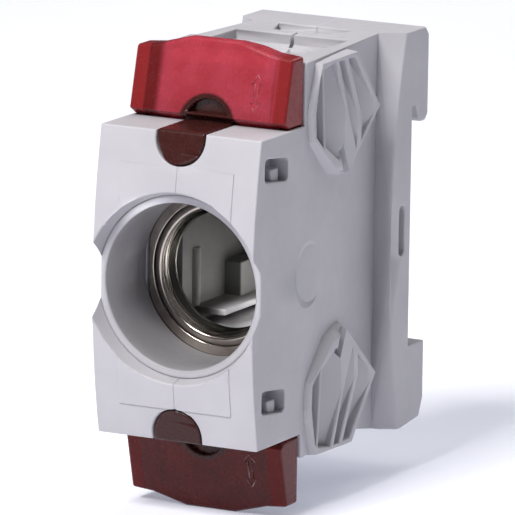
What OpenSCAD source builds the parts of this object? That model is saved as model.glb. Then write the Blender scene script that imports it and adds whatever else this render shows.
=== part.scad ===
// Single-pole screw-cap fuse base (D02 size, E18 shell) for a 35 mm top-hat rail.
// +Z is up, -Y faces the user, +Y faces the rail. The origin is the centre of the rail seat.

/* [Housing] */
// Half of the pitch, over the side bosses and the rear block
pitch_half = 13.5; // [13.2:0.1:14]
// Half width of the front block and the main body
body_half = 12.85; // [12.6:0.05:13.1]
// Height of the front block
front_h = 44.6; // [44:0.2:46]
// Distance from the rail seat to the edge of the front block's face
front_y = 45.3; // [44.5:0.1:46]
// How far the front face bulges at mid height
front_bulge = 2.2; // [1.6:0.2:2.8]
// Distance from the rail seat to the wall behind the terminal covers
wall_y = 32; // [31.8:0.1:32.1]
// Top of the main body above the rail centre
body_top = 28.9; // [28.5:0.1:29.5]
// Bottom of the main body below the rail centre
body_bottom = 28.2; // [28.1:0.1:29]
// Half width of the body at the valley in front of the rear block
waist_half = 10.2; // [10.1:0.1:10.6]
// Depth of the hex pockets in the side bosses
pocket_depth = 2.6; // [2:0.1:2.6]

/* [Socket] */
// Distance of the socket axis below the rail centre
socket_drop = 2.4; // [2.2:0.1:2.6]
// Radius of the cap opening in the front ring
cap_r = 12; // [11.9:0.05:12.1]
// Distance from the rail seat to the rim of the front ring
rim_y = 45; // [44.9:0.1:45.2]
// Core radius of the E18 threaded shell
thread_core_r = 8.6; // [8.55:0.05:8.7]
// Distance from the rail seat to the front of the contact ring
contact_y = 33.4; // [33.3:0.1:33.5]

/* [Terminals] */
// Height of the upper terminal screw above the rail centre
top_screw_z = 19; // [18.9:0.1:19.1]
// Distance of the lower terminal screw below the rail centre
bottom_screw_z = 22.8; // [22.7:0.1:22.9]
// Radius of the wire entries
wire_r = 4; // [3.6:0.1:4.2]
// Travel of each clamp cage from open to closed
cage_travel = 4.2; // [3.6:0.2:4.4]

/* [Rail] */
// Width of the rail gap between the hook and the lower cheeks
rail_gap = 35.3; // [35.2:0.1:35.6]
// Depth of the hook and the cheeks behind the seat
hook_depth = 5; // [4.6:0.2:5.4]
// Travel of the rail latch
latch_travel = 2.6; // [2.2:0.2:2.8]

/* [Hidden] */
$fn = 96;

eps = 0.01;
grey = [0.80, 0.79, 0.81];
dark_grey = [0.42, 0.42, 0.43];
red = [0.72, 0.12, 0.16, 0.8];
nickel = [0.70, 0.68, 0.64];
steel = [0.60, 0.60, 0.62];
copper = [0.72, 0.45, 0.32];

axis_z = -socket_drop;
front_top = axis_z + front_h / 2;
front_bottom = axis_z - front_h / 2;
// The front face is an arc about an X axis, through both edges and the bulge
face_r = (pow(front_h / 2, 2) + pow(front_bulge, 2)) / (2 * front_bulge);
face_centre_y = face_r - front_y - front_bulge;

// Front ring
ring_r = 13.2;
ring_flare = 0.75;
key_x = 11.8;
key_len = 1.6;

// Contact ring, threaded shell and fuse well
contact_r = 12.4;
contact_flat_x = 11.35;
sheet = 1.2;
lip = 0.45;
lip_r = 10.6;
shell_r = 9.7;
shell_back_y = 29.2;
rivet_r = 0.65;
rivet_x = 4.2;
rivet_z = axis_z + 10.7;
rivet_tail = 0.6;
well_head_half = 10.9;
well_head_back_y = 25.3;
well_half_x = 9.6;
well_half_z = 11;
well_wall = 1;
well_lid = 1.35;
well_back_t = 1.8;
well_back_y = 7.6;
well_front_y = contact_y - sheet - 0.05;

// Straps are 1.5 mm sheet, 10 mm wide
strap_t = 1.5;
strap_half = 5;
bus_front_y = 22.1;
bus_back_y = bus_front_y - strap_t;
slack = 0.15;

// Driver channels in the front block, filled by the covers' tongues
channel_r = 3.95;
channel_axis_up = front_top - 0.9;
tongue_gap = 0.2;

// Clamp cages
cage_half_x = 6.7;
cage_side_t = 1.2;
cage_h = 8;
cage_front_y = 26.6;
cage_front_t = 2.2;
cage_back_y = 12.2;
cage_back_t = 1.4;
screw_r = 2.5;
screw_head_r = 3.6;
screw_head_front_y = 35.2;
screw_head_back_y = 31.95;
seat_y = 31.9;
cell_y = cage_front_y + cage_travel + 0.2;
wire_y = 17.2;
funnel_r = 5.1;
deck_drop = 1.5;
deck_half = 9.2;
deck_back_y = 12.1;
top_pocket_depth = 1;

// Terminal covers
cover_half = 12.5;
cover_gap = 0.15;
cover_back_y = wall_y + cover_gap;
cover_wall = 1.5;
cover_side_wall = 2.3;
guide_x = 9.4;
guide_neck = 0.7;
guide_head = 1.3;
guide_depth = 1.1;
guide_up = 3;
guide_down = 8;

// Valley between the tapered sides and the rear block
valley_y = -4.9;
taper_start_y = 33;

// Rail hook, cheeks and latch
hook_z = rail_gap / 2;
hook_tip_z = 15.1;
hook_slot = 2.2;
rear_bottom = 29.6;
window_depth = 3;

// Thumb mark on each side
thumb_depth = 0.6;
thumb_y = 29;
thumb_z = -1.8;
thumb_r = 5.65;
thumb_slope = 2.5;
latch_half = 8.9;
latch_front_y = 4.6;
latch_back = 4.5;
latch_top_z = 13.6;
latch_gap = 0.2;
// Height of the lip that holds the rail's edge; the travel draws it clear
latch_lip = latch_travel - 1.1;
window_half = 3.2;
window_bottom_z = 26;
window_top_z = 15.2;
spring_r = 2;
spring_wire = 0.6;
spring_turns = 6;

// Extrudes an outline drawn in (Y, Z) from x0 to x1
module along_x(x0, x1) {
    translate([x0, 0, 0])
        rotate([90, 0, 90])
            linear_extrude(x1 - x0)
                children();
}

// Extrudes an outline drawn in (X, Z) from y0 to y1
module along_y(y0, y1) {
    translate([0, y1, 0])
        rotate([90, 0, 0])
            linear_extrude(y1 - y0)
                children();
}

// Cylinder about the socket axis, from y0 to y1
module socket_cylinder(r, y0, y1) {
    translate([0, y1, axis_z])
        rotate([90, 0, 0])
            cylinder(r = r, h = y1 - y0);
}

// Cone about the socket axis, of radius ra at y0 and rb at y1
module socket_cone(ra, rb, y0, y1) {
    translate([0, y1, axis_z])
        rotate([90, 0, 0])
            cylinder(r1 = rb, r2 = ra, h = y1 - y0);
}

// Cylinder about a line along Y at height z
module bar_y(r, z, y0, y1, x = 0) {
    translate([x, y1, z])
        rotate([90, 0, 0])
            cylinder(r = r, h = y1 - y0);
}

// Box from corner a to corner b
module block(a, b) {
    translate(a)
        cube(b - a);
}

// Everything behind the arc of the front face, moved forward by proud
module behind_face(proud = 0) {
    translate([face_centre_y, axis_z])
        circle(r = face_r + proud, $fn = 360);
}

// ---- Housing ----

// Side outline of the front block and the main body
module body_outline() {
    intersection() {
        translate([-front_y - front_bulge - 1, front_bottom])
            square([front_bulge + 1 + front_y - wall_y + 1, front_h]);
        behind_face();
    }
    polygon([
        [-wall_y, body_top],
        [0, body_top],
        [0, -rear_bottom],
        [-4, -rear_bottom],
        [-10.5, -body_bottom],
        [-wall_y, -body_bottom]
    ]);
}

// Side outline of the hook, the cheek and the back of the main body
module rear_outline() {
    polygon([
        [-11.2, body_top],
        [hook_depth - 1, body_top],
        [hook_depth, body_top - 1.2],
        [hook_depth, hook_tip_z + 0.9],
        [hook_depth - 0.9, hook_tip_z],
        [hook_slot + 0.5, hook_tip_z],
        [hook_slot - 0.2, hook_tip_z + 0.7],
        [hook_slot - 0.8, hook_z],
        [0, hook_z],
        [0, -hook_z],
        [hook_depth, -hook_z],
        [hook_depth, -rear_bottom + 3.4],
        [hook_depth - 1.2, -rear_bottom + 0.7],
        [-2, -rear_bottom],
        [-4, -rear_bottom],
        [-11.2, -body_bottom]
    ]);
}

// Full-width rear block, whose bowed front edge stands out from the valley
module rear_plateau() {
    bow_r = 115;
    bow_y = -6.25;
    bow_z = -2;
    intersection() {
        hull() {
            along_x(pitch_half - eps, pitch_half)
                intersection() {
                    translate([-12, -rear_bottom])
                        square([12 + hook_depth, rear_bottom + body_top]);
                    translate([bow_y + bow_r, bow_z])
                        circle(r = bow_r, $fn = 180);
                }
            along_x(waist_half - 1, waist_half - 0.1)
                translate([valley_y, -rear_bottom])
                    square([hook_depth - valley_y, rear_bottom + body_top]);
        }
        along_x(0, pitch_half + 1)
            rear_outline();
    }
}

// Takes the sides of the body in towards the valley
module side_taper() {
    translate([body_half, -taper_start_y, -50])
        rotate([0, 0, atan((body_half - waist_half) / (taper_start_y + valley_y))])
            cube([10, 60, 100]);
}

// Six-sided outline of a side boss; grow moves it outwards
module boss_outline(grow) {
    polygon([
        [-28.3 - grow, 28.3 + 0.2 * grow],
        [-17.6 + 0.4 * grow, 28.5 + 0.1 * grow],
        [-10.4 + grow, 19.6],
        [-19.6 + 0.5 * grow, 11.6 - grow],
        [-24 - 0.4 * grow, 12.6 - grow],
        [-30.4 - 0.8 * grow, 17.6 - 0.8 * grow],
        [-31 - 0.6 * grow, 21.5]
    ]);
}

// Raised boss on the side, with sloping flanks
module side_boss() {
    hull() {
        along_x(pitch_half - eps, pitch_half)
            boss_outline(0);
        along_x(waist_half - 0.2, waist_half - 0.1)
            boss_outline(1.7);
    }
}

// One louvre cell: deep along its front edge, and rising towards the back
module louvre_cell(points, lean, depth = pocket_depth) {
    front = min([for (p = points) p[0]]);
    intersection() {
        along_x(pitch_half - depth, pitch_half + 1)
            polygon(points);
        translate([pitch_half - depth, front, 0])
            rotate([0, 0, -lean])
                translate([0, -5, 0])
                    cube([10, 30, 40]);
    }
}

// The pocket of the upper boss: four cells between three leaning fins
module boss_pocket() {
    louvre_cell([[-30.2, 21.4], [-29, 26.6], [-28.5, 27.2], [-27.6, 16.2], [-29.8, 18]], 12, 1.7);
    louvre_cell([[-28, 27.4], [-24.1, 27.9], [-20.2, 17.9], [-22.6, 13.6], [-27, 16.1]], 21);
    louvre_cell([[-23.1, 27.9], [-21.5, 27.9], [-16.9, 18.6], [-17.6, 14.6], [-19.2, 17.9]], 24);
    louvre_cell([[-20.5, 27.9], [-18.1, 27.7], [-11.4, 19.6], [-16, 15.6], [-15.8, 18.6]], 18);
    // Groove that runs out over the lower tip of the boss
    along_x(pitch_half - 1, pitch_half + 1)
        polygon([[-22.5, 14.6], [-21.5, 15.4], [-19.1, 10.4], [-20.6, 10]]);
}

// Clip window near the front edge, with a tooth left standing at its lower edge
module clip_window(z) {
    difference() {
        along_x(body_half - window_depth, body_half + 1)
            hull() {
                for (p = [[-43.4, z - 0.6], [-38, z - 1.2]], s = [-1, 1])
                    translate([p[0], p[1] + s * 0.95])
                        circle(r = 0.75, $fn = 32);
            }
        along_x(body_half - window_depth, body_half - 0.9)
            translate([-40.9, z - 3.4])
                square([2.4, 2.5]);
    }
}

// Cuts for one terminal; up is 1 for the upper one and -1 for the lower one
module terminal_cell(up, screw_z, roof_z) {
    half_h = cage_h / 2 + 0.45;
    cell_half = cage_half_x + 0.2;
    block([-cell_half, -cell_y, screw_z - half_h], [cell_half, -cage_back_y + 0.3, screw_z + half_h]);
    bar_y(screw_r + 0.25, screw_z, -seat_y - 1, -cell_y + 1);
    bar_y(screw_head_r + 0.2, screw_z, -screw_head_front_y - 0.4, -seat_y);
    // Driver channel, open towards the cover
    channel_z = up > 0 ? channel_axis_up : 2 * axis_z - channel_axis_up;
    bar_y(channel_r, channel_z, -front_y - 4, -seat_y);
    slot_end = up > 0 ? front_top + 1 : front_bottom - 1;
    block(
        [-channel_r, -front_y - 4, min(channel_z, slot_end)],
        [channel_r, -wall_y - eps, max(channel_z, slot_end)]
    );
    // Wire entry with a funnel mouth
    translate([0, -wire_y, min(screw_z, roof_z)])
        cylinder(r = wire_r, h = abs(roof_z - screw_z) + 1);
}

// Groove for a cover's guide, open at its outer end
module cover_grooves(z0, z1) {
    for (s = [-1, 1]) {
        block(
            [s * guide_x - guide_neck - 0.15, -wall_y - 0.1, z0],
            [s * guide_x + guide_neck + 0.15, -wall_y + guide_depth, z1]
        );
        block(
            [s * guide_x - guide_head - 0.15, -wall_y + guide_depth - 0.15, z0],
            [s * guide_x + guide_head + 0.15, -wall_y + 2 * guide_depth + 0.3, z1]
        );
    }
}

// Seat of the front ring, the contact ring and the fuse well
module socket_cuts() {
    socket_cylinder(ring_r, -front_y - 4, -contact_y);
    socket_cone(ring_r + ring_flare + 0.05, ring_r, -front_y - front_bulge - 0.2, -rim_y);
    intersection() {
        socket_cylinder(contact_r + 0.1, -contact_y - eps, -well_front_y);
        block([-key_x, -contact_y - 1, -30], [key_x, 0, 30]);
    }
    block(
        [-well_head_half - 0.1, -well_front_y, axis_z - well_half_z - 0.1],
        [well_head_half + 0.1, -well_head_back_y + 0.1, axis_z + well_half_z + 0.1]
    );
    block(
        [-well_half_x - 0.1, -well_head_back_y - 1, axis_z - well_half_z - 0.1],
        [well_half_x + 0.1, -well_back_y + 0.1, axis_z + well_half_z + 0.1]
    );
}

// Channels for the two straps and the backing spring
module strap_cuts() {
    w = strap_half + slack;
    front = -contact_y + sheet - eps;
    block([-w, front, 6.8], [w, -contact_y + sheet + strap_t + rivet_tail + slack, 12.35]);
    block([-w, front, 10.8], [w, -bus_back_y + slack, 15]);
    block([-w, -well_back_y, -16.55], [w, -6, 3]);
    block([-w, -bus_front_y - slack, -19], [w, -6, -14.95]);
    block([-w, -6.1, -9], [w, -4.4, 3.4]);
}

// Cavity of the rail latch and its spring, with the ledge that the spring stands on
module latch_cut() {
    w = latch_half + latch_gap;
    difference() {
        block([-w, -latch_front_y - latch_gap, -rear_bottom - 1], [w, hook_depth + 1, -latch_top_z + 0.4]);
        block(
            [-window_half + 0.3, -latch_front_y - 1, -window_bottom_z + 0.9],
            [window_half - 0.3, -0.9, -window_bottom_z + 3.2]
        );
    }
}

// Round thumb mark with a gently sloping edge; it runs out where the side tapers away
module thumb_mark() {
    floor_r = thumb_r - thumb_slope * thumb_depth;
    translate([body_half - thumb_depth, -thumb_y, thumb_z])
        rotate([0, 90, 0])
            cylinder(r1 = floor_r, r2 = floor_r + thumb_slope, h = 1);
}

module housing() {
    difference() {
        union() {
            difference() {
                union() {
                    along_x(0, body_half)
                        body_outline();
                    along_x(0, body_half)
                        rear_outline();
                }
                side_taper();
            }
            // Slightly raised panel on the face
            along_x(0, 9)
                intersection() {
                    translate([-front_y - front_bulge - 1, -19.9])
                        square([5, 34.8]);
                    behind_face(0.15);
                }
            rear_plateau();
            side_boss();
            mirror([0, 0, 1])
                side_boss();
        }
        // The other half starts at x = 0
        block([-20, -60, -40], [0, 20, 40]);
        boss_pocket();
        mirror([0, 0, 1])
            boss_pocket();
        clip_window(15.9);
        clip_window(-17.4);
        socket_cuts();
        strap_cuts();
        latch_cut();
        terminal_cell(1, top_screw_z, body_top);
        terminal_cell(-1, -bottom_screw_z, -body_bottom - 1);
        cover_grooves(front_top - guide_down - 0.5, body_top + 1);
        cover_grooves(-body_bottom - 1, front_bottom + guide_down + 0.5);
        // Wire deck in the top, its funnel, and the shallow pocket behind it
        block([-deck_half, -wall_y - 1, body_top - deck_drop], [deck_half, -deck_back_y, body_top + 1]);
        translate([0, -wire_y, body_top - deck_drop - 1])
            cylinder(r1 = wire_r, r2 = funnel_r, h = 1 + eps);
        translate([0, -wire_y, -body_bottom - eps])
            cylinder(r1 = wire_r + 0.6, r2 = wire_r, h = 0.6);
        translate([0, 0, body_top - top_pocket_depth])
            linear_extrude(2)
                polygon([[-4.2, -9.8], [4.2, -9.8], [6.3, -4.4], [-6.3, -4.4]]);
        block([-0.3, -deck_back_y - 0.5, body_top - deck_drop - 1], [0.3, -9.7, body_top + 1]);
        // Narrow upright slot in the side of the rear block
        along_x(pitch_half - 2, pitch_half + 1)
            hull() {
                for (z = [-2.95, 2.75])
                    translate([-2.7, z])
                        circle(r = 0.85, $fn = 32);
            }
        thumb_mark();
    }
}

module housing_right() {
    color(grey)
        housing();
}

module housing_left() {
    color(grey)
        mirror([1, 0, 0])
            housing();
}

// ---- Socket ----

// Ring that lines the cap opening; its sides are flush with the housing
module front_ring() {
    color(grey)
        intersection() {
            difference() {
                socket_cylinder(ring_r, -rim_y, -contact_y);
                intersection() {
                    socket_cylinder(cap_r, -rim_y - 1, -contact_y + 1);
                    union() {
                        block([-cap_r - 1, -rim_y - 2, -30], [cap_r + 1, -contact_y - key_len, 30]);
                        block([-key_x, -contact_y - key_len - eps, -30], [key_x, 0, 30]);
                    }
                }
            }
            difference() {
                block([-body_half, -50, -30], [body_half, 0, 30]);
                thumb_mark();
                mirror([1, 0, 0])
                    thumb_mark();
            }
        }
}

module rivet_holes() {
    for (s = [-1, 1])
        bar_y(rivet_r + 0.05, rivet_z, -contact_y - 1, -contact_y + 6, s * rivet_x);
}

// Flat nickel-plated ring with two flats that key it in the housing
module contact_ring() {
    color(nickel)
        intersection() {
            difference() {
                socket_cylinder(contact_r, -contact_y, -contact_y + sheet);
                socket_cylinder(shell_r + 0.02, -contact_y - 1, 0);
                socket_cylinder(lip_r + 0.02, -contact_y - 1, -contact_y + lip + 0.02);
                rivet_holes();
            }
            block([-contact_flat_x, -50, -30], [contact_flat_x, 0, 30]);
        }
}

// Rolled shell of the screw thread, with a lip let into the contact ring
module threaded_shell() {
    color(nickel)
        difference() {
            union() {
                socket_cylinder(shell_r, -contact_y, -shell_back_y);
                socket_cylinder(lip_r, -contact_y, -contact_y + lip);
            }
            socket_cylinder(thread_core_r, -contact_y - 1, 0);
            socket_cone(shell_r + 0.4, thread_core_r, -contact_y - eps, -contact_y + 0.9);
        }
}

module shell_rivets() {
    color(nickel)
        for (s = [-1, 1])
            bar_y(rivet_r, rivet_z, -contact_y, -contact_y + sheet + strap_t + rivet_tail, s * rivet_x);
}

// Strap from the contact ring up to the upper terminal
module shell_strap() {
    y0 = -contact_y + sheet;
    color(copper)
        difference() {
            along_x(-strap_half, strap_half)
                polygon([
                    [y0, 7],
                    [y0, 12.3],
                    [-bus_front_y, 12.3],
                    [-bus_front_y, 22.6],
                    [-bus_back_y, 22.6],
                    [-bus_back_y, 10.9],
                    [y0 + strap_t, 10.9],
                    [y0 + strap_t, 7]
                ]);
            rivet_holes();
            socket_cylinder(shell_r + 0.1, -contact_y, 0);
        }
}

// Stop beside the foot contact, and the shelf and the upright rib in front of it
module well_details() {
    wall_x = well_half_x - well_wall + eps;
    floor_y = -well_back_y - well_back_t + eps;
    stop_x = 5.9;
    stop_y = -15.6;
    shelf_top = -9.6;
    shelf_x = 3.2;
    shelf_y = -25.2;
    block([stop_x, stop_y, shelf_top - 0.5], [wall_x, floor_y, -4.6]);
    block([shelf_x, shelf_y, shelf_top - 0.9], [wall_x, floor_y, shelf_top]);
    translate([wall_x + 0.7, -24.4, axis_z - well_half_z + 1])
        cylinder(r = 1.3, h = 11.2);
}

// Insulating well behind the shell, open to the front
module fuse_well() {
    roof_z = axis_z + well_half_z;
    floor_z = axis_z - well_half_z;
    color(dark_grey)
        difference() {
            union() {
                difference() {
                    union() {
                        block(
                            [-well_head_half, -well_front_y + 0.05, floor_z],
                            [well_head_half, -well_head_back_y, roof_z]
                        );
                        block(
                            [-well_half_x, -well_head_back_y - 1, floor_z],
                            [well_half_x, -well_back_y, roof_z]
                        );
                    }
                    // Square chamber behind the round seat of the shell
                    block(
                        [-well_half_x + well_wall, -shell_back_y + 0.6, floor_z + well_lid],
                        [well_half_x - well_wall, -well_back_y - well_back_t, roof_z - well_lid]
                    );
                    socket_cylinder(shell_r + 0.05, -40, -shell_back_y + 0.7);
                }
                intersection() {
                    union() {
                        well_details();
                        mirror([1, 0, 0])
                            well_details();
                    }
                    block([-well_half_x, -30, -20], [well_half_x, 0, 20]);
                }
            }
            // Room for the strap's foot and its rivets
            block(
                [-strap_half - slack, -well_front_y - 1, 6.8],
                [strap_half + slack, -contact_y + sheet + strap_t + rivet_tail + slack, 12]
            );
            // Hole for the foot contact
            socket_cylinder(5, -12, 0);
        }
}

// Contact button at the bottom of the well
module foot_contact() {
    color(nickel)
        difference() {
            union() {
                socket_cylinder(4.8, -10.6, -7.5);
                socket_cone(4.2, 4.8, -11.1, -10.6);
            }
            socket_cylinder(1.02, -12, 0);
        }
}

module foot_rivet() {
    color(copper)
        union() {
            socket_cylinder(1, -10.4, -5.9);
            socket_cylinder(1.9, -6, -5.5);
        }
}

// Strap from the foot contact down to the lower terminal
module foot_strap() {
    color(copper)
        difference() {
            along_x(-strap_half, strap_half)
                polygon([
                    [-7.5, 2.6],
                    [-6, 2.6],
                    [-6, -16.4],
                    [-bus_back_y, -16.4],
                    [-bus_back_y, -26.4],
                    [-bus_front_y, -26.4],
                    [-bus_front_y, -15.1],
                    [-7.5, -15.1]
                ]);
            socket_cylinder(1.02, -12, 0);
        }
}

// Bowed steel leaf that backs the foot strap
module backing_spring() {
    color(steel)
        difference() {
            along_x(-4, 4)
                polygon([
                    [-5.98, 2.4],
                    [-5.4, 2.9],
                    [-4.8, 1.4],
                    [-4.8, -6.2],
                    [-5.4, -8.3],
                    [-5.98, -7.8],
                    [-5.5, -6],
                    [-5.5, 1]
                ]);
            socket_cylinder(2.1, -12, 0);
        }
}

// ---- Terminals ----

module cage(screw_z) {
    color(steel)
        difference() {
            block(
                [-cage_half_x, -cage_front_y, screw_z - cage_h / 2],
                [cage_half_x, -cage_back_y, screw_z + cage_h / 2]
            );
            block(
                [-cage_half_x + cage_side_t, -cage_front_y + cage_front_t, screw_z - 10],
                [cage_half_x - cage_side_t, -cage_back_y - cage_back_t, screw_z + 10]
            );
            bar_y(screw_r + 0.05, screw_z, -40, -cage_front_y + cage_front_t + 1);
        }
}

module screw(screw_z) {
    cross = 4.6;
    slot_w = 1.1;
    slot_deep = 1.9;
    color(steel)
        difference() {
            union() {
                bar_y(screw_head_r, screw_z, -screw_head_front_y, -screw_head_back_y);
                bar_y(screw_r, screw_z, -screw_head_back_y - eps, -bus_front_y - 0.15);
            }
            for (a = [0, 90])
                translate([0, -screw_head_front_y, screw_z])
                    rotate([0, a, 0])
                        translate([-cross / 2, -1, -slot_w / 2])
                            cube([cross, 1 + slot_deep, slot_w]);
        }
}

module top_cage() {
    cage(top_screw_z);
}

module bottom_cage() {
    cage(-bottom_screw_z);
}

module top_screw() {
    screw(top_screw_z);
}

module bottom_screw() {
    screw(-bottom_screw_z);
}

// ---- Covers ----

// Side outline of the upper cover
module cover_outline(inset = 0) {
    polygon([
        [-cover_back_y, front_top + cover_gap + inset],
        [-36.4 + inset, front_top + cover_gap + inset],
        [-37.9 + inset, front_top + 1.1 + inset],
        [-35.2 + inset, front_top + 11.9 - inset],
        [-34.6 + inset, front_top + 12.2 - inset],
        [-cover_back_y, front_top + 11 - inset]
    ]);
}

// Front outline of the upper cover, raised in the middle
module cover_front(inset = 0) {
    top = front_top - inset;
    half = cover_half - (inset > 0 ? cover_side_wall : 0);
    polygon([
        [-half, front_top - 6],
        [half, front_top - 6],
        [half, top + 10],
        [9.2, top + 10.3],
        [3.9, top + 11.8],
        [-3.9, top + 11.8],
        [-9.2, top + 10.3],
        [-half, top + 10]
    ]);
}

module cover() {
    tongue_r = channel_r - tongue_gap;
    screw_way = screw_head_r + 0.6;
    head_front_y = screw_head_front_y + 0.4;
    arch_r = 3.4;
    arch_web = 0.8;
    arch_foot = 1.4;
    difference() {
        union() {
            intersection() {
                along_x(-cover_half, cover_half)
                    cover_outline();
                along_y(-40, -30)
                    cover_front();
            }
            // Tongue that fills the driver channel, flush with the front face
            intersection() {
                union() {
                    bar_y(tongue_r, channel_axis_up, -50, -36.2);
                    block([-tongue_r, -50, channel_axis_up], [tongue_r, -36.2, front_top + cover_gap + 0.4]);
                }
                along_x(-5, 5)
                    intersection() {
                        behind_face(-0.05);
                        translate([-50, 0])
                            square([14.4, front_top + cover_gap]);
                    }
            }
            block([-tongue_r, -37, front_top - 0.4], [tongue_r, -36.2, front_top + 1]);
            // Guides that run in the housing's grooves
            for (s = [-1, 1]) {
                block(
                    [s * guide_x - guide_neck, -cover_back_y - 0.5, front_top + cover_gap],
                    [s * guide_x + guide_neck, -wall_y + guide_depth, front_top + guide_up]
                );
                block(
                    [s * guide_x - guide_neck, -wall_y + 0.05, front_top - guide_down],
                    [s * guide_x + guide_neck, -wall_y + guide_depth, front_top + guide_up]
                );
                block(
                    [s * guide_x - guide_head, -wall_y + guide_depth - eps, front_top - guide_down],
                    [s * guide_x + guide_head, -wall_y + 2 * guide_depth, front_top + guide_up]
                );
            }
        }
        // Hollow, open at the back
        difference() {
            intersection() {
                along_x(-cover_half + cover_side_wall, cover_half - cover_side_wall)
                    cover_outline(cover_wall);
                along_y(-40, -30)
                    cover_front(cover_wall);
                block([-guide_x + guide_neck + 0.3, -40, 0], [guide_x - guide_neck - 0.3, 0, 60]);
            }
            // Web that closes the driver recess
            bar_y(arch_r + 0.8, front_top, -40, -head_front_y - 0.05);
        }
        // Way through the floor for the screw's head
        block([-screw_way, -head_front_y, front_top - 1], [screw_way, 0, front_top + cover_wall + 1]);
        // Half-round driver recess above the tongue
        intersection() {
            bar_y(arch_r, front_top, -40, -head_front_y - arch_web);
            block([-arch_r, -40, front_top + arch_foot], [arch_r, -30, 60]);
        }
    }
}

module top_cover() {
    color(red)
        cover();
}

module bottom_cover() {
    color(red)
        translate([0, 0, 2 * axis_z])
            mirror([0, 0, 1])
                cover();
}

// ---- Rail latch ----

module rail_latch() {
    color(grey)
        difference() {
            along_x(-latch_half, latch_half)
                polygon([
                    [-latch_front_y, -latch_top_z],
                    [-1, -latch_top_z],
                    [-1, -hook_z - 0.4],
                    [1.3, -hook_z - 0.4],
                    [1.3, -hook_z + latch_lip],
                    [2.2, -hook_z + latch_lip],
                    [latch_back, -hook_z - 1.6],
                    [latch_back, -rear_bottom + 3.6],
                    [latch_back - 1.2, -rear_bottom + 0.9],
                    [-2, -rear_bottom + 0.2],
                    [-latch_front_y, -rear_bottom + 0.2]
                ]);
            // Window that holds the spring and clears the housing's ledge
            block([-window_half, -latch_front_y - 1, -window_bottom_z], [window_half, -0.5, -window_top_z]);
            // Tool slot in the foot
            block([-3, 1, -rear_bottom - 1], [3, 3.2, -rear_bottom + 3]);
        }
}

// Coil spring drawn as a stack of rings on a thin core
module latch_spring() {
    base_z = -window_bottom_z + 3.25;
    top_z = -window_top_z - 0.05;
    step = (top_z - base_z - spring_wire) / (spring_turns - 1);
    color(steel)
        translate([0, -2.75, base_z])
            union() {
                for (i = [0:spring_turns - 1])
                    translate([0, 0, spring_wire / 2 + i * step])
                        rotate_extrude($fn = 48)
                            translate([spring_r - spring_wire / 2, 0])
                                circle(r = spring_wire / 2, $fn = 24);
                difference() {
                    cylinder(r = spring_r - spring_wire / 2 + 0.1, h = top_z - base_z);
                    translate([0, 0, -1])
                        cylinder(r = spring_r - spring_wire / 2 - 0.1, h = top_z - base_z + 2);
                }
            }
}

housing_left();
housing_right();
front_ring();
contact_ring();
threaded_shell();
shell_strap();
shell_rivets();
fuse_well();
foot_contact();
foot_strap();
foot_rivet();
backing_spring();
top_cage();
top_screw();
bottom_cage();
bottom_screw();
top_cover();
bottom_cover();
rail_latch();
latch_spring();
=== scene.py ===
"""Looks of a single-pole screw-cap fuse base: a grey two-part housing, a nickel-plated screw socket and
two sliding red terminal covers. The script works in millimetres and scales each finished mesh to metres."""

import math

import bmesh
import bpy
from mathutils import Matrix, Vector
from mathutils.bvhtree import BVHTree


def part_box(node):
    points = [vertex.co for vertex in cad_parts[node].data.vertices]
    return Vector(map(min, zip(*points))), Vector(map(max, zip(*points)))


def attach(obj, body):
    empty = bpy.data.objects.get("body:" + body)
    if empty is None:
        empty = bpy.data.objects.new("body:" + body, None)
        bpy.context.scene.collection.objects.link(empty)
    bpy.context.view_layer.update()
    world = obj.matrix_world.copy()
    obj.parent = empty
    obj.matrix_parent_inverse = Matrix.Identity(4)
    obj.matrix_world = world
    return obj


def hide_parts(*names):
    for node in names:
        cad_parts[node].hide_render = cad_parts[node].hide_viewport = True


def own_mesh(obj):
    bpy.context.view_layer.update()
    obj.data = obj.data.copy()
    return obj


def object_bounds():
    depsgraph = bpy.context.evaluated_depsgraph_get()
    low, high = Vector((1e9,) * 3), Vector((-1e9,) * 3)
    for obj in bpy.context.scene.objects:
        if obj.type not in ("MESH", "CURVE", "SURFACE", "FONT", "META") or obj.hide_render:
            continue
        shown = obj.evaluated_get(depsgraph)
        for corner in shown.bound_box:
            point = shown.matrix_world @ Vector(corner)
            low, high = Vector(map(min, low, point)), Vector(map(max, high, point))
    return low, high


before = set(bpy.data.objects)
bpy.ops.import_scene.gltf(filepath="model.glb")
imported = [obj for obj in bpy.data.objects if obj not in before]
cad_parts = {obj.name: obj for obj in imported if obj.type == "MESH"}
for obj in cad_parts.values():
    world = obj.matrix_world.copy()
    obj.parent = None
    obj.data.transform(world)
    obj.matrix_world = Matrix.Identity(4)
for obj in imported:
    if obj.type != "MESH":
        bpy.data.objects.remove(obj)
cad_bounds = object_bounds()

MM = 0.001
scene = bpy.context.scene


def box_mm(node):
    """The lowest and highest corner of a CAD node, in millimetres."""
    low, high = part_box(node)
    return low / MM, high / MM


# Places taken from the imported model
shell_low, shell_high = box_mm("threaded_shell")
AXIS_Z = (shell_low.z + shell_high.z) / 2
SHELL_FRONT = shell_low.y
SHELL_LENGTH = shell_high.y - shell_low.y
SHELL_LIP_R = (shell_high.x - shell_low.x) / 2
spring_low, spring_high = box_mm("latch_spring")


# ---- Materials ----


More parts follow.
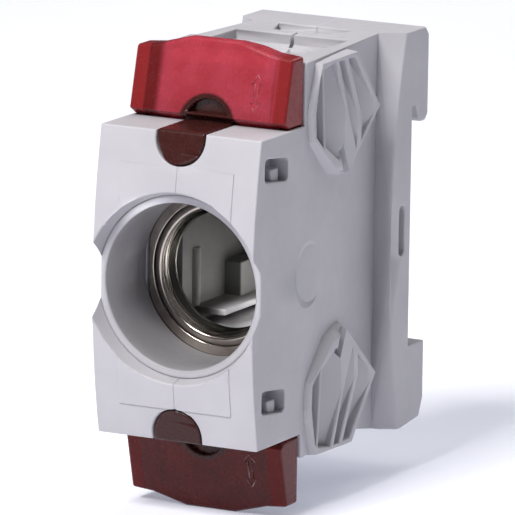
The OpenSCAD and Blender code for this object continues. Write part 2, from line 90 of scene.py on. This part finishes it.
class Shader:
    """A material with a Principled shader, and short calls for the nodes that feed it."""

    def __init__(self, name, **values):
        self.material = bpy.data.materials.new(name)
        self.material.use_nodes = True
        self.tree = self.material.node_tree
        self.main = self.tree.nodes["Principled BSDF"]
        self.coordinates = self.tree.nodes.new("ShaderNodeTexCoord").outputs["Object"]
        for socket, value in values.items():
            self.main.inputs[socket.replace("_", " ")].default_value = value

    def link(self, output, target):
        self.tree.links.new(output, target)

    def noise(self, size, detail=2.0, stretch=(1, 1, 1)):
        """Noise whose features are about size millimetres across."""
        mapping = self.tree.nodes.new("ShaderNodeMapping")
        mapping.inputs["Scale"].default_value = stretch
        self.link(self.coordinates, mapping.inputs["Vector"])
        texture = self.tree.nodes.new("ShaderNodeTexNoise")
        texture.inputs["Scale"].default_value = 1 / (size * MM)
        texture.inputs["Detail"].default_value = detail
        self.link(mapping.outputs["Vector"], texture.inputs["Vector"])
        return texture.outputs["Fac"]

    def ramp(self, source, stops):
        """A colour ramp; stops are (position, colour)."""
        node = self.tree.nodes.new("ShaderNodeValToRGB")
        while len(node.color_ramp.elements) < len(stops):
            node.color_ramp.elements.new(0.5)
        for element, (position, colour) in zip(node.color_ramp.elements, stops):
            element.position = position
            element.color = (*colour, 1)
        self.link(source, node.inputs["Fac"])
        return node.outputs["Color"]

    def span(self, source, low, high):
        """Source's middle range, from 0.3 to 0.7, mapped to low and high."""
        node = self.tree.nodes.new("ShaderNodeMapRange")
        node.inputs["From Min"].default_value = 0.3
        node.inputs["From Max"].default_value = 0.7
        node.inputs["To Min"].default_value = low
        node.inputs["To Max"].default_value = high
        self.link(source, node.inputs["Value"])
        return node.outputs["Result"]

    def reach(self, scale, centre, inner, outer):
        """0 where the scaled distance from centre is under inner millimetres, and 1 beyond outer."""
        mapping = self.tree.nodes.new("ShaderNodeMapping")
        mapping.inputs["Scale"].default_value = scale
        mapping.inputs["Location"].default_value = [-c * k * MM for c, k in zip(centre, scale)]
        self.link(self.coordinates, mapping.inputs["Vector"])
        length = self.tree.nodes.new("ShaderNodeVectorMath")
        length.operation = "LENGTH"
        self.link(mapping.outputs["Vector"], length.inputs[0])
        node = self.tree.nodes.new("ShaderNodeMapRange")
        node.interpolation_type = "SMOOTHSTEP"
        node.inputs["From Min"].default_value = inner * MM
        node.inputs["From Max"].default_value = outer * MM
        self.link(length.outputs["Value"], node.inputs["Value"])
        return node.outputs["Result"]

    def blend(self, factor, first, second):
        """Goes from first to second as the factor grows; each is a colour output or a plain colour."""
        node = self.tree.nodes.new("ShaderNodeMix")
        node.data_type = "RGBA"
        self.link(factor, node.inputs["Factor"])
        for place, colour in ((6, first), (7, second)):
            if isinstance(colour, tuple):
                node.inputs[place].default_value = (*colour, 1)
            else:
                self.link(colour, node.inputs[place])
        return node.outputs[2]

    def bump(self, source, height, strength=1.0):
        """Surface relief of about height millimetres."""
        node = self.tree.nodes.new("ShaderNodeBump")
        node.inputs["Distance"].default_value = height * MM
        node.inputs["Strength"].default_value = strength
        self.link(source, node.inputs["Height"])
        self.link(node.outputs["Normal"], self.main.inputs["Normal"])


def moulded_plastic(name, light, dark, roughness=(0.42, 0.55), painted_shade=None):
    """Fine-textured moulded plastic, with faint flow marks between two close colours.

    The last argument, when given, is painted shade: a darker colour and the reach inside which it takes over.
    """
    s = Shader(name, Specular_IOR_Level=0.4)
    colour = s.ramp(s.noise(9, 4), [(0.35, dark), (0.65, light)])
    if painted_shade:
        shade, *within = painted_shade
        colour = s.blend(s.reach(*within), shade, colour)
    s.link(colour, s.main.inputs["Base Color"])
    s.link(s.span(s.noise(1.6, 3), *roughness), s.main.inputs["Roughness"])
    s.bump(s.noise(0.22, 3), 0.012, 0.5)
    return s.material


def plated_metal(name, light, dark, roughness=(0.16, 0.32), grain=(1, 1, 1), relief=0.004, painted_shade=None):
    """Plated or rolled metal, with streaks along the grain and slight tarnish.

    The last argument, when given, is painted shade: the darker colour that the metal fades to behind the
    front of the shell.
    """
    s = Shader(name, Metallic=1.0)
    colour = s.ramp(s.noise(3.5, 5), [(0.3, dark), (0.62, light)])
    if painted_shade:
        colour = s.blend(s.reach((0, 1, 0), (0, SHELL_FRONT, 0), 0.5, 1.6), colour, painted_shade)
    s.link(colour, s.main.inputs["Base Color"])
    s.link(s.span(s.noise(0.8, 4, grain), *roughness), s.main.inputs["Roughness"])
    s.bump(s.noise(0.35, 2, grain), relief, 0.6)
    return s.material


def translucent_plastic(name, light, dark, edge, tongue, tongue_z, clear, depth_colour, density):
    """Hazy tinted plastic, darker in its thick side walls and in the tongue, where no light comes through."""
    roughness = 0.2
    side_clear = 0.08
    s = Shader(name, IOR=1.45, Specular_IOR_Level=0.2)
    panel = s.ramp(s.noise(4, 4), [(0.35, dark), (0.65, light)])
    # The painted shade of the thick side walls is a dark band, wider on the left than on the right
    panel = s.blend(s.reach((1, 0, 0), (1.0, 0, 0), 8.5, 9.8), panel, edge)
    side = s.reach((1, 0, 0), (0, 0, 0), 9.9, 10.6)
    s.link(s.span(side, clear, side_clear), s.main.inputs["Transmission Weight"])
    colour = s.blend(s.reach((1, 0, 1), (0, 0, tongue_z), 4.3, 4.8), tongue, panel)
    s.link(colour, s.main.inputs["Base Color"])
    s.link(s.span(s.noise(1.2, 3), roughness, roughness + 0.12), s.main.inputs["Roughness"])
    s.bump(s.noise(1.6, 2), 0.02, 0.35)
    absorb = s.tree.nodes.new("ShaderNodeVolumeAbsorption")
    absorb.inputs["Color"].default_value = (*depth_colour, 1)
    absorb.inputs["Density"].default_value = density
    s.link(absorb.outputs["Volume"], s.tree.nodes["Material Output"].inputs["Volume"])
    return s.material


# Height of the middle of each tongue's round above or below the socket's axis
TONGUE_Z = 22.0
HOUSING_TONES = (0.475, 0.465, 0.495), (0.44, 0.43, 0.46)
NICKEL_TONES = (0.54, 0.49, 0.44), (0.34, 0.30, 0.27)
NICKEL_ROUGHNESS = (0.12, 0.26)

HOUSING = moulded_plastic("housing_plastic", *HOUSING_TONES)
# The ring's plastic turns dark inside the bore near the front of the shell: painted shade.
RING = moulded_plastic(
    "ring_plastic",
    *HOUSING_TONES,
    painted_shade=((0.22, 0.215, 0.23), (1, 0.35, 1), (0, SHELL_FRONT, AXIS_Z), 12.1, 13.3),
)
LATCH = moulded_plastic("latch_plastic", (0.45, 0.443, 0.47), (0.415, 0.41, 0.437))
# The well's plastic turns dark within a few millimetres of its left wall: painted shade.
WELL = moulded_plastic(
    "well_plastic",
    (0.60, 0.59, 0.60),
    (0.54, 0.53, 0.54),
    (0.5, 0.65),
    painted_shade=((0.13, 0.13, 0.12), (1, 0, 0), (-10, 0, 0), 3.5, 6),
)
NICKEL = plated_metal("nickel_plate", *NICKEL_TONES, NICKEL_ROUGHNESS)
# The shell's nickel fades to a dark colour behind its front: painted shade inside the socket.
SHELL_NICKEL = plated_metal("shell_nickel", *NICKEL_TONES, NICKEL_ROUGHNESS, painted_shade=(0.15, 0.145, 0.125))
STRAP = plated_metal("tinned_brass", (0.72, 0.58, 0.38), (0.60, 0.46, 0.28), (0.28, 0.45), (1, 1, 0.1))
ZINC = plated_metal("zinc_plate", (0.70, 0.71, 0.74), (0.58, 0.59, 0.62), (0.26, 0.42), (0.15, 1, 1))
SPRING_STEEL = plated_metal("spring_steel", (0.50, 0.50, 0.52), (0.36, 0.36, 0.38), (0.22, 0.4))
TOP_RED = translucent_plastic(
    "cover_red",
    light=(0.62, 0.075, 0.115),
    dark=(0.54, 0.055, 0.08),
    edge=(0.22, 0.018, 0.02),
    tongue=(0.085, 0.022, 0.019),
    tongue_z=AXIS_Z + TONGUE_Z,
    clear=0.5,
    depth_colour=(0.93, 0.14, 0.12),
    density=420,
)
# The bottom cover is the same red plastic as the top cover; its much darker colours and denser absorption are
# painted shade.
BOTTOM_RED_PAINTED_SHADE = translucent_plastic(
    "cover_red_painted_shade",
    light=(0.12, 0.009, 0.007),
    dark=(0.09, 0.007, 0.006),
    edge=(0.11, 0.008, 0.007),
    tongue=(0.06, 0.02, 0.019),
    tongue_z=AXIS_Z - TONGUE_Z,
    clear=0.35,
    depth_colour=(0.8, 0.14, 0.1),
    density=700,
)


# ---- Mesh tools ----

# Rounding: angles in degrees, shares of the bevel's width and places in millimetres
MERGE_DISTANCE = 0.002
FLAT_ANGLE = 0.4
SHARP_ANGLE = 16
ROUND_ANGLE = 25
SEAM_SHARE = 0.5
LEAST_SHARE = 0.08
ROOM_SHARE = 0.45
STRAIGHT_ON_COSINE = -0.85
FACE_STRAY_SHARE = 0.45
VERTEX_STRAY_SHARE = 0.6
SLIVER_AREA = 0.0002
TURNED_COSINE = -0.05
# How far around a stray place edges lose their rounding, in bevel widths, one value for each try
HEALING_REACHES = (1.2, 1.2, 2, 3, 4, 6)


def new_piece(name, mesh, material, body, slot, *stands_for):
    """Makes an object of a mesh in millimetres, puts it on a body and lets it stand for CAD nodes."""
    mesh.transform(Matrix.Scale(MM, 4))
    mesh.materials.clear()
    mesh.materials.append(material)
    piece = bpy.data.objects.new(name, mesh)
    scene.collection.objects.link(piece)
    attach(piece, body)
    if stands_for:
        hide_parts(*stands_for)
    return piece


def mesh_from(vertices, faces, name, smooth=True):
    mesh = bpy.data.meshes.new(name)
    mesh.from_pydata([tuple(v) for v in vertices], [], faces)
    mesh.validate()
    mesh.polygons.foreach_set("use_smooth", [smooth] * len(mesh.polygons))
    return mesh


def distance_to_edge(point, edge):
    a, b = (v.co for v in edge.verts)
    span = b - a
    share = min(1.0, max(0.0, (point - a).dot(span) / max(span.length_squared, 1e-12)))
    return (a + span * share - point).length


def clear_width(edge):
    """The widest bevel that the edges and corners around this edge leave room for."""
    room = math.inf
    near = set(edge.verts)
    for vert in edge.verts:
        along = (edge.other_vert(vert).co - vert.co).normalized()
        for other in vert.link_edges:
            if other is edge:
                continue
            way = other.other_vert(vert).co - vert.co
            near.add(other.other_vert(vert))
            cosine = way.normalized().dot(along)
            if cosine > STRAIGHT_ON_COSINE:
                room = min(room, ROOM_SHARE * way.length * math.sqrt(max(0.0, 1 - cosine * cosine)))
    for vert in list(near):
        near.update(other.other_vert(vert) for other in vert.link_edges)
    for face in edge.link_faces:
        for vert in face.verts:
            if vert not in near:
                room = min(room, ROOM_SHARE * distance_to_edge(vert.co, edge))
    return room


def strays(mesh, solid, width):
    """Places where a rounded mesh leaves its solid or has a face turned the wrong way."""
    found = []
    for face in mesh.polygons:
        middle = face.center
        nearest, normal, _, distance = solid.find_nearest(middle)
        if nearest is None:
            continue
        turned = face.area > SLIVER_AREA and normal.dot(face.normal) < TURNED_COSINE
        if distance > FACE_STRAY_SHARE * width or turned:
            found.append(middle.copy())
    for vert in mesh.vertices:
        _, _, _, distance = solid.find_nearest(vert.co)
        if distance > VERTEX_STRAY_SHARE * width:
            found.append(vert.co.copy())
    return found


def bevelled(bm, width, segments):
    """The mesh with its weighted edges rounded and its flat faces kept flat in the shading."""
    shape = bpy.data.meshes.new("shaping")
    bm.to_mesh(shape)
    if "custom_normal" in shape.attributes:
        shape.attributes.remove(shape.attributes["custom_normal"])
    piece = bpy.data.objects.new("shaping", shape)
    scene.collection.objects.link(piece)
    bevel = piece.modifiers.new("edges", "BEVEL")
    bevel.width = width
    bevel.segments = segments
    bevel.limit_method = "WEIGHT"
    bevel.use_clamp_overlap = False
    bevel.miter_outer = "MITER_SHARP"
    triangles = piece.modifiers.new("triangles", "TRIANGULATE")
    triangles.min_vertices = 5
    normals = piece.modifiers.new("normals", "WEIGHTED_NORMAL")
    normals.keep_sharp = True
    evaluated = piece.evaluated_get(bpy.context.evaluated_depsgraph_get())
    finished = bpy.data.meshes.new_from_object(evaluated)
    bpy.data.objects.remove(piece)
    bpy.data.meshes.remove(shape)
    return finished


def rounded(node, width, body, slot, material, seam=None):
    """A copy of a CAD node with its outer edges rounded, and finer rounding along the plane x = seam.

    Where the rounding strays from the solid, the edges near that place lose it and it is made again.
    """
    segments = 3
    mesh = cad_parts[node].data.copy()
    mesh.transform(Matrix.Scale(1 / MM, 4))
    bm = bmesh.new()
    bm.from_mesh(mesh)
    bmesh.ops.remove_doubles(bm, verts=bm.verts, dist=MERGE_DISTANCE)
    solid = BVHTree.FromBMesh(bm)
    bmesh.ops.dissolve_limit(bm, angle_limit=math.radians(FLAT_ANGLE), verts=bm.verts, edges=bm.edges)
    weights = bm.edges.layers.float.new("bevel_weight_edge")
    for face in bm.faces:
        face.smooth = True
    for edge in bm.edges:
        turn = edge.calc_face_angle() if edge.is_manifold else math.pi
        edge.smooth = turn < math.radians(SHARP_ANGLE)
        if turn < math.radians(ROUND_ANGLE) or not edge.is_manifold or not edge.is_convex:
            continue
        on_seam = seam is not None and all(abs(v.co.x - seam) < 0.01 for v in edge.verts)
        share = min(SEAM_SHARE if on_seam else 1.0, clear_width(edge) / width)
        if share > LEAST_SHARE:
            edge[weights] = share
            edge.smooth = True
    for reach in HEALING_REACHES:
        finished = bevelled(bm, width, segments)
        places = strays(finished, solid, width)
        if not places:
            break
        for edge in bm.edges:
            if edge[weights] > 0 and any(distance_to_edge(p, edge) < reach * width for p in places):
                edge[weights] = 0
                edge.smooth = False
    bm.free()
    low, high = box_mm(node)
    for vert in finished.vertices:
        vert.co = [min(max(c, a), b) for c, a, b in zip(vert.co, low, high)]
    finished.name = node + "_mesh"
    return new_piece(node + "_rounded", finished, material, body, slot, node)


def swept_rings(rings, closed=True):
    """Faces that join rings of equal size; the ring list closes on itself when closed."""
    count = len(rings[0])
    vertices = [p for ring in rings for p in ring]
    faces = []
    for i in range(len(rings) if closed else len(rings) - 1):
        j = (i + 1) % len(rings)
        for k in range(count):
            n = (k + 1) % count
            faces.append((i * count + k, i * count + n, j * count + n, j * count + k))
    return vertices, faces


def tube(path, radius, sides=12):
    """A tube with closed ends along a list of points."""
    rings = []
    side = None
    for i, point in enumerate(path):
        ahead = (path[min(i + 1, len(path) - 1)] - path[max(i - 1, 0)]).normalized()
        if side is None:
            side = ahead.orthogonal().normalized()
        side = (side - ahead * side.dot(ahead)).normalized()
        up = ahead.cross(side)
        turns = [math.tau * k / sides for k in range(sides)]
        rings.append([point + radius * (side * math.cos(t) + up * math.sin(t)) for t in turns])
    vertices, faces = swept_rings(rings, closed=False)
    last = len(vertices) - sides
    faces.append(tuple(range(sides))[::-1])
    faces.append(tuple(range(last, last + sides)))
    return vertices, faces


# ---- Socket ----


def threaded_shell():
    """Thin rolled shell: a flat lip, a rounded turn and then the knuckle thread."""
    pitch, crest_r, root_r, sheet = 2.6, 8.6, 9.3, 0.35
    turn_r, lip_inset, run_in = 0.45, 0.02, 1.2
    around = 180
    lip = [(SHELL_LIP_R - lip_inset, 0.0), (root_r + turn_r, 0.0)]
    bend = [math.radians(a) for a in range(10, 91, 10)]
    turn = [(root_r + turn_r * (1 - math.sin(a)), turn_r * (1 - math.cos(a))) for a in bend]
    steps = 64
    depths = [turn_r + (SHELL_LENGTH - turn_r) * (i + 1) / steps for i in range(steps)]

    def bore(depth, angle):
        grown = min(1.0, (depth - turn_r) / run_in)
        wave = 0.5 - 0.5 * math.cos(math.tau * (depth - turn_r) / pitch - angle)
        return root_r - (root_r - crest_r) * wave * grown

    rings = []
    for r, depth in lip + turn:
        rings.append([(r, depth)] * around)
    for depth in depths:
        rings.append([(bore(depth, math.tau * k / around), depth) for k in range(around)])
    outside = []
    for ring in reversed(rings):
        inward = 1 if ring[0][1] > turn_r else 0.0
        outside.append([(min(r + sheet * inward, SHELL_LIP_R), max(d, sheet)) for r, d in ring])
    points = []
    for ring in rings + outside:
        turned = [(r, SHELL_FRONT + d, math.tau * k / around) for k, (r, d) in enumerate(ring)]
        points.append([Vector((r * math.cos(a), y, AXIS_Z + r * math.sin(a))) for r, y, a in turned])
    vertices, faces = swept_rings(points)
    mesh = mesh_from(vertices, faces, "threaded_shell_mesh")
    return new_piece("threaded_shell_rolled", mesh, SHELL_NICKEL, "base", "nickel", "threaded_shell")


def latch_spring():
    """Compression spring with closed end coils, built at one length; the real spring shortens as the latch is
    pulled.
    """
    wire_r, coils, steps_per_coil = 0.3, 7.0, 28
    # Share of the climb that is even; the rest is slow at both ends, which closes the end coils
    even = 0.75
    mean_r = (spring_high.x - spring_low.x) / 2 - wire_r
    centre = Vector(((spring_low.x + spring_high.x) / 2, (spring_low.y + spring_high.y) / 2, 0))
    base, height = spring_low.z + wire_r, spring_high.z - spring_low.z - 2 * wire_r
    steps = int(coils * steps_per_coil)
    path = []
    for i in range(steps + 1):
        share = i / steps
        rise = 0.5 - 0.5 * math.cos(math.pi * share)
        climb = even * share + (1 - even) * rise
        turn = math.tau * coils * share
        z = base + height * climb
        path.append(centre + Vector((mean_r * math.cos(turn), mean_r * math.sin(turn), z)))
    mesh = mesh_from(*tube(path, wire_r), "latch_spring_mesh")
    piece = new_piece("latch_spring_coil", mesh, SPRING_STEEL, "base", "spring", "latch_spring")
    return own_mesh(piece)


# ---- Covers ----


def slide_arrow(node, material, up):
    """Raised outline of a double-headed arrow on a cover's sloping front, to show which way it slides."""
    centre_x, centre_z = 7.4, AXIS_Z + up * 27.2
    half_height, head, shaft, wing, line_r = 2.5, 1.2, 0.3, 0.85, 0.11
    quarter = [(0, half_height), (wing, half_height - head), (shaft, half_height - head)]
    right = quarter + [(x, -z) for x, z in reversed(quarter)]
    outline = right + [(-x, z) for x, z in reversed(right[1:-1])]
    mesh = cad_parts[node].data
    solid = BVHTree.FromPolygons([v.co / MM for v in mesh.vertices], [p.vertices for p in mesh.polygons])
    path = []
    ahead_y = -60
    for x, z in outline:
        start = Vector((centre_x + x, ahead_y, centre_z + z))
        hit, normal, _, _ = solid.ray_cast(start, Vector((0, 1, 0)))
        path.append(hit)
    rings = []
    sides = 10
    for i, point in enumerate(path):
        ahead = (path[(i + 1) % len(path)] - path[i - 1]).normalized()
        side = ahead.cross(normal).normalized()
        turns = [math.tau * k / sides for k in range(sides)]
        rings.append([point + line_r * (side * math.cos(t) + normal * math.sin(t)) for t in turns])
    mesh = mesh_from(*swept_rings(rings), node + "_arrow_mesh")
    new_piece(node + "_arrow", mesh, material, node, "cover")


rounded("housing_left", 0.26, "base", "housing", HOUSING, seam=0.0)
rounded("housing_right", 0.26, "base", "housing", HOUSING, seam=0.0)
rounded("front_ring", 0.3, "base", "housing", RING)
rounded("contact_ring", 0.15, "base", "nickel", NICKEL)
rounded("fuse_well", 0.25, "base", "well", WELL)
rounded("top_cover", 0.45, "top_cover", "cover", TOP_RED)
rounded("bottom_cover", 0.45, "bottom_cover", "cover", BOTTOM_RED_PAINTED_SHADE)
rounded("rail_latch", 0.35, "latch", "latch", LATCH)
rounded("top_screw", 0.2, "top_screw", "zinc", ZINC)
rounded("bottom_screw", 0.2, "bottom_screw", "zinc", ZINC)
rounded("top_cage", 0.3, "top_cage", "zinc", ZINC)
rounded("bottom_cage", 0.3, "bottom_cage", "zinc", ZINC)
rounded("shell_strap", 0.2, "base", "strap", STRAP)
rounded("foot_strap", 0.2, "base", "strap", STRAP)
rounded("foot_contact", 0.2, "base", "nickel", NICKEL)
rounded("foot_rivet", 0.15, "base", "strap", STRAP)
rounded("shell_rivets", 0.12, "base", "nickel", NICKEL)
rounded("backing_spring", 0.1, "base", "spring", SPRING_STEEL)
slide_arrow("top_cover", TOP_RED, 1)
slide_arrow("bottom_cover", BOTTOM_RED_PAINTED_SHADE, -1)
threaded_shell()
latch_spring()


# ---- Floor, light and camera ----


def floor():
    """Wide pale floor under the part, with a weak glow of its own."""
    s = Shader("floor_white", Specular_IOR_Level=0.1)
    colour = s.ramp(s.noise(60, 2), [(0.3, (0.71, 0.71, 0.75)), (0.7, (0.74, 0.74, 0.78))])
    s.link(colour, s.main.inputs["Base Color"])
    s.main.inputs["Roughness"].default_value = 0.9
    s.main.inputs["Emission Color"].default_value = (0.80, 0.84, 1.0, 1)
    s.main.inputs["Emission Strength"].default_value = 0.32
    half = 3.0
    z = cad_bounds[0][2]
    corners = [(-half, -half, z), (half, -half, z), (half, half, z), (-half, half, z)]
    mesh = mesh_from(corners, [(0, 1, 2, 3)], "floor_mesh", smooth=False)
    mesh.materials.append(s.material)
    piece = bpy.data.objects.new("floor", mesh)
    scene.collection.objects.link(piece)


def hang(data, place, aim):
    """Hangs a light at a place, turned towards its aim."""
    lamp = bpy.data.objects.new(data.name, data)
    lamp.location = place
    lamp.rotation_euler = (Vector(aim) - Vector(place)).to_track_quat("-Z", "Y").to_euler()
    scene.collection.objects.link(lamp)


def area_light(name, place, aim, size, power, colour=(1, 1, 1)):
    data = bpy.data.lights.new(name, "AREA")
    data.size = size
    data.energy = power
    data.color = colour
    hang(data, place, aim)


def socket_light(place, aim, power):
    """Narrow soft beam through the mouth of the socket, so that the well can be seen."""
    data = bpy.data.lights.new("socket", "SPOT")
    data.spot_size = math.radians(1.2)
    data.spot_blend = 0.6
    data.shadow_soft_size = 0.004
    data.energy = power
    hang(data, place, aim)


def studio():
    """A weak pale surround and four lights.

    They are a soft key from the upper front, a top light, a light on the floor behind the part and a narrow
    beam into the socket.
    """
    world = bpy.data.worlds.new("studio")
    scene.world = world
    world.use_nodes = True
    tree = world.node_tree
    background = tree.nodes["Background"]
    background.inputs["Color"].default_value = (0.88, 0.90, 1.0, 1)
    background.inputs["Strength"].default_value = 0.06
    area_light("key", (-0.12, -0.78, 0.92), (0, -0.02, 0), 0.40, 17.5, (1.0, 0.985, 0.97))
    area_light("top", (0.05, 0.15, 0.95), (0, -0.02, 0), 0.6, 3.0)
    area_light("backdrop", (0.35, 1.5, 1.1), (0.35, 1.2, 0), 1.4, 12)
    socket_light((-0.0946, -0.4806, 0.147), (0.004, -0.0156, -0.008), 200)
    scene.view_settings.view_transform = "Standard"


def camera():
    """Camera at the photograph's angle; the lens is long, so the view is nearly parallel."""
    azimuth, elevation, roll = math.radians(27.84), math.radians(11.65), math.radians(0.83)
    distance = 1.15311
    # The camera is set a little to the left of the line through the target
    target = Vector((0, -0.020, -0.0024))
    side_step, rise = -0.00084, 0.00011
    back = Vector((
        math.sin(azimuth) * math.cos(elevation),
        -math.cos(azimuth) * math.cos(elevation),
        math.sin(elevation),
    ))
    right = Vector((math.cos(azimuth), math.sin(azimuth), 0))
    up = back.cross(right)
    right, up = (
        right * math.cos(roll) + up * math.sin(roll),
        up * math.cos(roll) - right * math.sin(roll),
    )
    data = bpy.data.cameras.new("camera")
    data.sensor_width = 36
    data.lens = 561
    data.clip_end = 20
    eye = bpy.data.objects.new("camera", data)
    axes = Matrix((right, up, back)).transposed().to_4x4()
    eye.matrix_world = Matrix.Translation(target + back * distance + right * side_step - up * rise) @ axes
    scene.collection.objects.link(eye)
    scene.camera = eye


floor()
studio()
camera()
